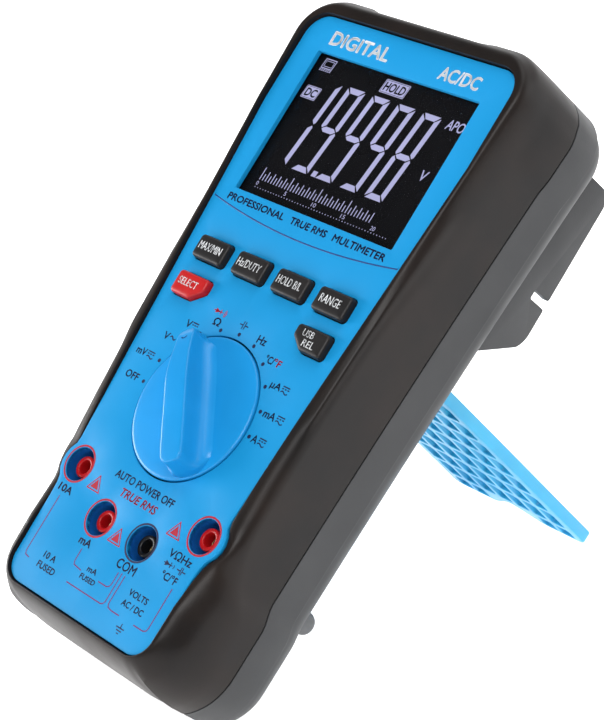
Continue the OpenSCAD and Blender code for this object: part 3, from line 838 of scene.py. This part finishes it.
# Shrouds behind the socket openings, each a tube closed round the sleeve
shroud = [(SHROUD_R, -0.25), (SHROUD_R, -15.6), (3.4, -15.7), (3.4, -16.2), (TUBE_R, -16.4),
          (TUBE_R, -1.6), (SHROUD_R + 0.05, -1.55), (SHROUD_R, -0.25)]
# the shrouds take the darker blue, which is painted shade inside the holes
piece("socket_shrouds", *merged(*(lathe(shroud, s) for s in SOCKETS)), "blue_panel",
      material=SHROUD)

sleeve = [(2.0, -6.0), (2.0, -2.6), (2.1, -2.35), (2.3, -2.2), (3.0, -2.2), (3.2, -2.3),
          (3.3, -2.55), (3.34, -14.1), (5.0, -14.2), (5.0, -15.6), (2.66, -15.65), (2.66, -6.05),
          (2.0, -6.0)]
tube = [(2.0, -6.2), (2.0, -17.6), (1.7, -18.0), (0, -18.0), (0, -19.4), (2.4, -19.4),
        (2.6, -19.2), (2.6, -16.8), (4.2, -16.7), (4.2, -15.8), (2.6, -15.75), (2.58, -6.2),
        (2.45, -6.1), (2.1, -6.1), (2.0, -6.2)]
for tag, at in zip(("10a", "ma", "com", "volt"), SOCKETS):
    finish = "black_insulator" if tag == "com" else "red_insulator"
    piece("insulating_sleeve_" + tag, *lathe(sleeve, at), finish, ["sleeve_" + tag])
    piece("contact_tube_" + tag, *lathe(tube, at), "brass", ["socket_" + tag])

# Fine raised line across the panel below the display, painted dark blue as painted shade along the
# bead
LINE_BEND = 3.45 / 1600.0
LINE_STEPS = 60
LINE_END = panel_at("side", 0.66)[0] - 0.9
section = ((-0.24, -0.02), (-0.13, 0.07), (0.0, 0.10), (0.13, 0.07), (0.24, -0.02))
points = []
for k in range(LINE_STEPS + 1):
    x = -42.0 + 84.0 * k / LINE_STEPS
    n = Vector((-2 * LINE_BEND * x, 1)).normalized()
    for off, z in section:
        points.append((min(max(x + n.x * off, -LINE_END), LINE_END),
                       54.4 + LINE_BEND * x * x + n.y * off, z))
corners = [j * len(section) + k for j in range(LINE_STEPS) for k in range(len(section) - 1)]
piece("panel_line", points, [(a, a + 5, a + 6, a + 1) for a in corners], "blue_panel",
      material=LINE_BLUE)

# ---- print on the panel ---------------

navy, red, white, bracket = Print(), Print(), Print(), Print()

white.word("DIGITAL", -31.0, -6.5, 111.6, 115.9, 0.17)
white.word("AC/DC", 14.5, 30.0, 111.6, 115.6, 0.14)
red.word("°F", 17.3, 20.1, 20.0, 22.2, 0.07)
red.word("TRUE RMS", -8.0, 8.0, -31.0, -28.6, 0.07, 0.16)

# Word, left, right, low and high
for weight, words in (
    (0.10, (("PROFESSIONAL", -34.0, -9.2, 58.1, 60.2), ("TRUE RMS", -6.2, 9.0, 58.1, 60.2),
            ("MULTIMETER", 11.9, 33.0, 58.1, 60.2))),
    (0.11, (("10A", -31.0, -25.2, -38.1, -35.9), ("mA", -12.2, -7.2, -47.8, -45.6))),
    (0.07, (
        ("OFF", -31.9, -26.3, -0.9, 1.3), ("mV", -33.0, -28.9, 6.5, 8.7),
        ("V", -26.4, -24.2, 13.5, 15.7), ("V", -21.0, -18.8, 19.3, 21.5),
        ("Ω", -11.7, -8.9, 23.2, 25.5), ("Hz", 7.2, 10.8, 23.8, 26.1),
        ("°C/", 13.8, 17.2, 20.0, 22.2), ("µA", 20.6, 24.6, 14.0, 16.5),
        ("mA", 24.0, 28.5, 6.5, 8.7), ("A", 25.0, 27.1, -1.0, 1.2),
        ("AUTO POWER OFF", -13.5, 12.5, -27.0, -24.7), ("COM", 5.3, 13.3, -48.0, -45.3),
        ("VΩHz", 20.6, 30.0, -38.2, -35.8), ("°C/°F", 22.2, 28.6, -44.3, -42.0),
        ("10 A", -21.5, -16.2, -56.4, -54.5), ("FUSED", -22.0, -14.0, -59.6, -57.7),
        ("mA", -3.4, 0.6, -53.2, -51.6), ("FUSED", -4.6, 2.0, -55.9, -54.4),
        ("VOLTS", 15.2, 23.2, -52.6, -50.8), ("AC / DC", 14.8, 23.8, -55.9, -54.1))),
):
    for word in words:
        navy.word(*word, weight)

for k in range(11):
    a = radians(180 - 18 * k)
    navy.add(circle(DIAL_R * cos(a), DIAL_R * sin(a), 0.6, 24))


def wave(left, width, y, size):
    return [(left + width * k / 12, y + size * sin(2 * pi * k / 12)) for k in range(13)]


def supply(left, right, low, high, alternating=True):
    """Direct and alternating current signs, one above the other."""
    w, h = right - left, high - low
    navy.strokes(0.36, (left, high - 0.12 * h, right, high - 0.12 * h))
    y = high - 0.42 * h
    for k in range(3):
        x = left + k * 0.38 * w
        navy.strokes(0.36, (x, y, x + 0.25 * w, y))
    if alternating:
        navy.line(wave(left, w, low + 0.14 * h, 0.14 * h), 0.36)


supply(-28.3, -25.4, 6.5, 8.8)
supply(-18.5, -16.0, 19.2, 21.6, alternating=False)
supply(25.1, 27.9, 14.3, 16.6)
supply(29.1, 32.0, 6.5, 8.8)
supply(27.6, 30.4, -1.0, 1.3)
navy.line(wave(-23.8, 2.5, 14.7, 0.42), 0.42)

# diode and sounder signs
red.add([(-13.2, 26.5), (-11.2, 27.25), (-13.2, 28.0)])
red.strokes(0.35, (-11.05, 26.5, -11.05, 28.0))
red.strokes(0.28, (-14.0, 27.25, -10.2, 27.25))
red.ring(-9.9, 27.25, 0.45, 0.72, -60, 60, 10)
red.ring(-9.9, 27.25, 1.05, 1.32, -60, 60, 10)
navy.add([(21.2, -40.9), (23.2, -40.1), (21.2, -39.3)])
navy.strokes(0.35, (23.35, -40.9, 23.35, -39.3))
navy.strokes(0.28, (20.6, -40.1, 24.2, -40.1))
navy.ring(24.3, -40.1, 0.45, 0.72, -60, 60, 10)
# capacitor signs
navy.strokes(0.36, (-2.0, 26.6, -0.65, 26.6), (0.25, 26.6, 1.6, 26.6), (-0.6, 25.4, -0.6, 27.8),
             (0.2, 25.4, 0.2, 27.8))
navy.strokes(0.34, (26.2, -40.1, 27.6, -40.1), (28.4, -40.1, 29.8, -40.1),
             (27.7, -41.2, 27.7, -39.0), (28.3, -41.2, 28.3, -39.0))
# ground sign
navy.strokes(0.34, (19.3, -60.0, 19.3, -61.3), (17.6, -61.3, 21.0, -61.3))
navy.strokes(0.32, (18.2, -62.1, 20.4, -62.1))
navy.strokes(0.30, (18.8, -62.9, 19.8, -62.9))

for x, y in ((-18.3, -31.4), (0.0, -41.0), (18.4, -31.3)):
    shape = [(x - 2.7, y - 2.1), (x + 2.7, y - 2.1), (x, y + 2.4)]
    red.line(shape + [shape[0]], 0.34)
    red.add(moved_in(shape, 0.55))
for (x, y), tone in zip(SOCKETS, (red, red, navy, red)):
    tone.ring(x, y, SHROUD_R + 0.16, 5.84)

for path in (
    [(-28.8, -39.5), (-28.8, -57.4), (-28.3, -58.4), (-26.4, -58.7)],
    [(-8.0, -58.7), (8.0, -58.7), (8.9, -58.2), (9.2, -57.4), (9.2, -48.7)],
    [(-9.5, -48.8), (-9.5, -52.6), (-9.0, -53.6), (-5.4, -54.0)],
    [(2.8, -54.0), (6.6, -54.0), (7.5, -53.5), (7.8, -52.6), (7.8, -49.0)],
    [(10.7, -48.8), (10.7, -57.4), (11.2, -58.4), (13.0, -58.7), (16.5, -58.7)],
    [(23.0, -58.7), (27.2, -58.7), (28.2, -58.2), (28.5, -57.2), (28.5, -45.2)],
):
    bracket.line(path, 0.34)

navy.place("panel_print_navy", 0.03, NAVY, "blue_panel")
red.place("panel_print_red", 0.034, RED, "blue_panel")
white.place("panel_print_white", 0.03, WHITE, "blue_panel")
bracket.place("panel_print_brackets", 0.026, BRACKET, "blue_panel")

# ---- display --------------------------

lit = Print()


def segment_digit(x, y, marks):
    """Seven-segment digit whose lower left corner is at x, y. marks names the lit segments."""
    w, h, t, lean, g = 7.3, 28.4, 1.75, 0.125, 0.20
    m = h / 2

    def put(shape):
        lit.add([(x + px + lean * py, y + py) for px, py in shape])

    for mark, edge, inner in (("a", h, h - t), ("d", 0, t)):
        if mark in marks:
            put([(g + 0.25, edge), (w - g - 0.25, edge), (w - t - g, inner), (t + g, inner)])
    if "g" in marks:
        put([(0.55 + g, m), (t + g, m + t / 2), (w - t - g, m + t / 2), (w - 0.55 - g, m),
             (w - t - g, m - t / 2), (t + g, m - t / 2)])
    upper = [(0, m + 0.65 + g), (0, h - 0.25 - g), (t, h - t - g), (t, m + t / 2 + g + 0.25),
             (0.55, m + g + 0.05)]
    lower = [(0, 0.25 + g), (t, t + g), (t, m - t / 2 - g - 0.25), (0.55, m - g - 0.05),
             (0, m - 0.65 - g)]
    for mark, right, shape in (("f", False, upper), ("e", False, lower), ("b", True, upper),
                               ("c", True, lower)):
        if mark in marks:
            put([((w - px) if right else px, py) for px, py in shape])


SHAPES = {"1": "bc", "9": "abcdfg", "8": "abcdefg"}
DIGITS_LOW = 73.7
for index, digit in enumerate("9998"):
    segment_digit(-20.35 + 10.45 * index, DIGITS_LOW, SHAPES[digit])
segment_digit(-30.2, DIGITS_LOW, SHAPES["1"])
lit.add([(-11.5, DIGITS_LOW), (-9.6, DIGITS_LOW), (-9.45, 75.5), (-11.3, 75.5)])

lit.word("APO", 24.6, 31.2, 99.5, 102.6, 0.05, 0.12)
lit.word("V", 25.6, 28.2, 83.4, 86.5, 0.04, 0.12)

for k in range(39):
    x = -29.1 + 1.242 * k
    tall = 4.0 if k % 10 == 0 else (3.1 if k % 2 == 0 else 2.1)
    lit.add([(x - 0.17, 67.3), (x + 0.17, 67.3), (x + 0.17 + 0.02 * tall, 67.3 + tall),
             (x - 0.17 + 0.02 * tall, 67.3 + tall)])
for k in range(48):
    x = -29.1 + 1.19 * k
    big = 0.22 if k % 2 else 0.3
    lit.add([(x - big / 2, 64.7), (x + big / 2, 64.7), (x + big / 2, 65.0), (x - big / 2, 65.0)])
for k, text in enumerate(("0", "5", "10", "15", "20")):
    x, w = -29.0 + 12.42 * k, 0.45 * len(text)
    lit.word(text, x - w, x + w, 65.5, 66.8)

# computer sign
lit.line([(-31.6, 105.1), (-31.2, 108.1), (-26.7, 108.1), (-27.1, 105.1), (-31.6, 105.1)], 0.28)
lit.line([(-30.9, 105.7), (-30.7, 107.5), (-27.3, 107.5), (-27.5, 105.7), (-30.9, 105.7)], 0.16)
for row in range(2):
    for k in range(6):
        x, y = -31.9 + 0.86 * k + 0.05 * row, 104.15 + 0.42 * row
        lit.add([(x, y), (x + 0.6, y), (x + 0.62, y + 0.24), (x + 0.02, y + 0.24)])


def badge(text, x0, x1, y0, y1, lean=0.12):
    """Lit block with dark lettering and a dark inner outline."""
    middle, inset = (y0 + y1) / 2, 0.3
    left, right, low, high = x0 + inset, x1 - inset, y0 + inset, y1 - inset

    def skew(shape):
        return [(x + lean * (y - middle), y) for x, y in shape]

    lit.add(skew(rounded(x0, x1, y0, y1, 0.35, 3)))
    shade.line(skew([(left, low), (right, low), (right, high), (left, high), (left, low)]), 0.14)
    shade.word(text, x0 + 0.9, x1 - 0.9, y0 + 0.85, y1 - 0.85, 0.10, lean)


shade = Print()
badge("HOLD", -5.3, 4.7, 103.6, 108.0)
badge("DC", -32.6, -26.4, 94.7, 98.9)
lit.place("display_marks", -2.57, SEGMENTS, "lcd_black")
shade.place("display_shades", -2.56, MATERIALS["lcd_black"], "lcd_black")

# ---- keys -----------------------------

LEGENDS = {
    "key_maxmin": [("MAX/MIN", -0.2, 0.3, 9.6, 2.4)],
    "key_duty": [("Hz/DUTY", -0.2, 0.3, 9.8, 2.4)],
    "key_hold": [("HOLD B/L", -0.2, 0.3, 9.8, 2.4)],
    "key_range": [("RANGE", -0.4, 0.3, 8.2, 2.5)],
    "key_select": [("SELECT", -0.6, 0.5, 8.2, 2.2)],
    "key_rel": [("USB", -0.9, 1.55, 4.4, 2.0), ("REL", 0.9, -1.15, 4.6, 2.0)],
}


def key_top(x, y):
    return 2.14 + 0.06 * (1 - (x / 6.4) ** 2 * 0.6 - (y / 3.6) ** 2 * 0.4)


def key_cap(cx, cy, cut):
    rings = [(key_outline(grow, cut), z) for grow, z in (
        (0.75, -2.8), (0.75, -1.9), (0.0, -1.85), (0.0, 1.25), (-0.10, 1.68), (-0.34, 1.96),
        (-0.72, 2.1))]
    count = len(rings[0][0])
    points = [(x, y, z) for outline, z in rings for x, y in outline]
    last = rings[-1][0]
    for share in (0.8, 0.55, 0.28):
        points += [(x * share, y * share, key_top(x * share, y * share)) for x, y in last]
    rows = len(rings) + 3
    points.append((0, 0, key_top(0, 0)))
    faces = grid_faces(rows, count)
    top = (rows - 1) * count
    faces += [(top + k, top + (k + 1) % count, len(points) - 1) for k in range(count)]
    faces.append(tuple(range(count)))
    stem = lathe([(0, -14.0), (2.0, -14.0), (2.0, -2.8), (0, -2.8)], (0, 0), 24)
    points, faces = merged((points, faces), stem)
    return [(x + cx, y + cy, z) for x, y, z in points], faces


for name, cx, cy, cut in KEYS:
    finish = "key_red" if name == "key_select" else "key_grey"
    piece(name.replace("key_", "button_"), *key_cap(cx, cy, cut), finish, [name], name, sharp=50)
    legend = Print()
    for text, x, y, w, h in LEGENDS[name]:
        legend.word(text, x - w / 2, x + w / 2, y - h / 2, y + h / 2, 0.02)
    points = [(cx + x, cy + y, key_top(x, y) + 0.03) for x, y in legend.points]
    piece(name.replace("key_", "legend_"), points, legend.faces, finish, (), name, WHITE)

# ---- knob -----------------------------


def knob_disc():
    profile = [(0, -8.0), (5.0, -8.0), (5.0, -3.0), (21.3, -3.0), (21.6, -2.6), (21.66, -0.2),
               (21.6, 0.25), (21.42, 0.52), (21.1, 0.66), (20.6, 0.72), (18.0, 0.86),
               (14.0, 0.98), (9.0, 1.06), (4.0, 1.1), (0, 1.1)]
    return lathe(profile, (0, 0), 144)


def handle_top(u):
    if u <= 5:
        return 9.5
    if u <= 23.5:
        s = (u - 5) / 18.5
        return 9.5 - 4.2 * s ** 1.6 - 0.9 * max(0.0, (s - 0.8) / 0.2) ** 2
    return 4.4


def handle_plan():
    """Handle outline seen from the front, anticlockwise, along u with the pointer at +u."""
    nose, tail = 2.65, 2.5
    half_nose, half_tail, half_middle = 2.75, 3.55, 3.7
    right = arc(-20.4 + tail, -half_tail + tail, tail, 180, 270, 9)
    for k in range(1, 24):
        u = -18.7 + (21.0 + 18.7) * k / 24
        half = half_middle - (half_middle - half_nose) * ease(6, 21, u) ** 0.9
        if u < -14:
            half = half_tail + (half_middle - half_tail) * ease(-18.7, -14, u)
        right.append((u, -half))
    right += arc(23.0 - nose, -half_nose + nose, nose, 270, 360, 9)
    return right + [(u, -v) for u, v in reversed(right)]


def knob_handle():
    plan = handle_plan()
    count = len(plan)
    # distance out from the outline and share of the handle's height, from the disc upwards
    levels = [(4.6, 0.0), (3.3, 0.035), (2.25, 0.10), (1.5, 0.19), (0.95, 0.31), (0.6, 0.45),
              (0.36, 0.62), (0.16, 0.82), (0.03, 0.93), (-0.10, 0.975), (-0.32, 0.995),
              (-0.62, 1.0)]
    normals = [Vector((a - x, b - y)).normalized()
               for (x, y), (a, b) in zip(plan, moved_in(plan, -1.0))]
    points = [(u, v, -0.5 if hypot(u, v) < 20.9 else 0.38) for u, v in plan]
    for grow, share in levels:
        for (u, v), n in zip(plan, normals):
            room = 21.2 - hypot(u, v)
            reach = grow if grow <= 0.4 else min(grow, max(0.4 * grow / 4.6, room))
            x, y = u + n.x * reach, v + n.y * reach
            base = 0.62 + 0.42 * max(0.0, 1 - (hypot(x, y) / 21.4) ** 2)
            points.append((x, y, base + (handle_top(x) - base) * share))
    edge = [(u + n.x * -0.62, v + n.y * -0.62) for (u, v), n in zip(plan, normals)]
    for share in (0.6, 0.2):
        points += [(u, v * share, handle_top(u) + 0.05 * (1 - share)) for u, v in edge]
    rows = 1 + len(levels) + 2
    faces = grid_faces(rows, count)
    top = (rows - 1) * count
    for k in range(count // 2 - 1):
        faces.append((top + k, top + k + 1, top + count - 2 - k, top + count - 1 - k))
    faces.append(tuple(range(count)))
    return points, faces


piece("selector_knob", *knob_disc(), "blue_knob", ["knob"], "knob", place=KNOB, sharp=40)
piece("selector_handle", *knob_handle(), "blue_knob", (), "knob", place=KNOB, sharp=42)
mark = Print()
mark.ring(19.9, 0.0, 0.75, 1.15, 110, 250, 12)
piece("selector_mark", [(x, y, handle_top(x) + 0.09) for x, y in mark.points], mark.faces,
      "blue_knob", (), "knob", LINE_BLUE, KNOB)

# ---- tilt stand -----------------------

STAND_LEN, STAND_T = 105.2, 4.0


def stand_outline(inset=0.0):
    """Outline in the stand's own plane, anticlockwise, from one foot round to the hinge."""
    right = [(0.0, -STAND_LEN + 6.0 + inset)]
    for k in range(1, 7):
        notch = 6.0 * (1 - ease(0.0, 1.0, k / 6))
        right.append((12.0 * k / 6, -STAND_LEN + notch + inset))
    right += arc(29.3 - 3, -STAND_LEN + 3, 3 - inset, -90, 0, 8)
    right += [(29.0 - inset, -80), (28.5 - inset, -40), (27.7 - inset, -6), (27.7 - inset, -1.0)]
    return right + [(-x, y) for x, y in reversed(right[1:])]


def tilt_stand():
    half = STAND_T / 2
    bm = bmesh.new()
    rings = [add_loop(bm, stand_outline(inset), z) for inset, z in (
        (0.5, -half), (0.15, -half + 0.15), (0.0, -half + 0.5), (0.0, half - 0.5),
        (0.15, half - 0.15), (0.5, half))]
    for a, b in zip(rings, rings[1:]):
        add_skirt(bm, a, b)

    # a waffle of pits, each deepest at the end nearer the floor
    rows = [(-96.3 + 11.5 * k, -86.2 + 11.5 * k, range(-3, 4)) for k in range(8)]
    rows.append((-103.9, -98.0, (-3, -2, 2, 3)))
    top_edges = loop_edges(bm, rings[-1])
    for low, high, columns in rows:
        for column in columns:
            x = 7.6 * column
            shape = rounded(x - 3.05, x + 3.05, low, high, 1.3, 4)
            mouth = add_loop(bm, shape, half)
            lip = add_loop(bm, moved_in(shape, 0.18), half - 0.14)
            floor = add_loop(bm, moved_in(shape, 0.42),
                             lambda y: half - 1.7 + 1.45 * (y - low) / (high - low))
            add_skirt(bm, mouth, lip)
            add_skirt(bm, lip, floor)
            bm.faces.new(floor)
            top_edges += loop_edges(bm, mouth)
    for edges, way in ((top_edges, 1), (loop_edges(bm, rings[0]), -1)):
        bmesh.ops.triangle_fill(bm, use_beauty=True, edges=edges, normal=(0, 0, way))
    bmesh.ops.recalc_face_normals(bm, faces=bm.faces)
    bm.verts.index_update()
    plate = [tuple(v.co) for v in bm.verts], [tuple(v.index for v in f.verts) for f in bm.faces]
    bm.free()

    turns = circle(0, 0, 2.0, 24)
    sizes = [(-27.6, 0.85), (-27.3, 1.0), (27.3, 1.0), (27.6, 0.85)]
    barrel = [(x, r * y, r * z) for x, r in sizes for y, z in turns]
    return merged(plate, (barrel, capped(len(sizes), len(turns))))


stand = piece("support_stand", *tilt_stand(), "blue_stand", ["tilt_stand"], "stand", place=STAND,
              sharp=30)

# flat where the stand and the lower end of the case meet the floor
for resting in (stand, back):
    for v in resting.data.vertices:
        v.co.z = max(v.co.z, 0.00002)

# ---- camera, light and floor ----------

camera_data = bpy.data.cameras.new("camera")
camera = linked("camera", camera_data)
bpy.context.scene.camera = camera
eye = Vector((455.47, -380.75, 351.52)) * MM
look = Vector((-0.7007, 0.5811, -0.4139)).normalized()
right = Vector((0.6447, 0.7643, -0.0184))
right = (right - look * right.dot(look)).normalized()
up = right.cross(look)
camera.matrix_world = Matrix.Translation(eye) @ Matrix((right, up, -look)).transposed().to_4x4()
camera_data.lens = 114.38
camera_data.sensor_width = 36.0
camera_data.sensor_fit = "AUTO"
camera_data.clip_start = 0.01


def softbox(name, place, aim, size, power):
    data = bpy.data.lights.new(name, "AREA")
    data.shape = "RECTANGLE"
    data.size, data.size_y = size
    data.energy = power
    lamp = linked(name, data)
    lamp.location = Vector(place)
    lamp.rotation_euler = (Vector(aim) - Vector(place)).to_track_quat("-Z", "Y").to_euler()


centre = (0.0, 0.0, 0.09)
softbox("key", (0.42, -0.72, 0.95), centre, (0.7, 0.7), 12.0)
softbox("back", (0.75, 0.75, 0.55), centre, (0.5, 0.6), 1.5)
softbox("top", (0.0, 0.15, 1.1), centre, (0.8, 0.5), 3.5)
softbox("low", (-0.75, -0.45, 0.14), (0.0, -0.06, 0.03), (0.5, 0.2), 5.0)

bpy.context.scene.view_settings.view_transform = "Standard"

world = bpy.data.worlds.new("studio")
world.use_nodes = True
set_inputs(world.node_tree.nodes["Background"], {"Color": (1.0, 1.0, 1.0, 1), "Strength": 0.15})
bpy.context.scene.world = world

# floor that curves up into a wall behind the object
floor_mesh = bpy.data.meshes.new("floor")
size, reach, bend, rise = 14.0, 1.6, 0.5, 6.0
rows = [(-size, 0.0), *arc(reach, bend, bend, -90, 0, 15), (reach + bend, rise)]
grid = [(x, y, z) for y, z in rows for x in (-size, size)]
floor_mesh.from_pydata(grid, [], [(2 * k, 2 * k + 1, 2 * k + 3, 2 * k + 2)
                                  for k in range(len(rows) - 1)])
floor_mesh.shade_smooth()
floor_object = linked("floor", floor_mesh)
floor_mesh.materials.append(moulded(
    "studio_floor", (0.86, 0.86, 0.87), (0.88, 0.88, 0.885), (0.6, 0.7), 2.0, 0.001, 300,
    specular=0.2, settings={"Emission Color": (1, 1, 1, 1), "Emission Strength": 0.85}))
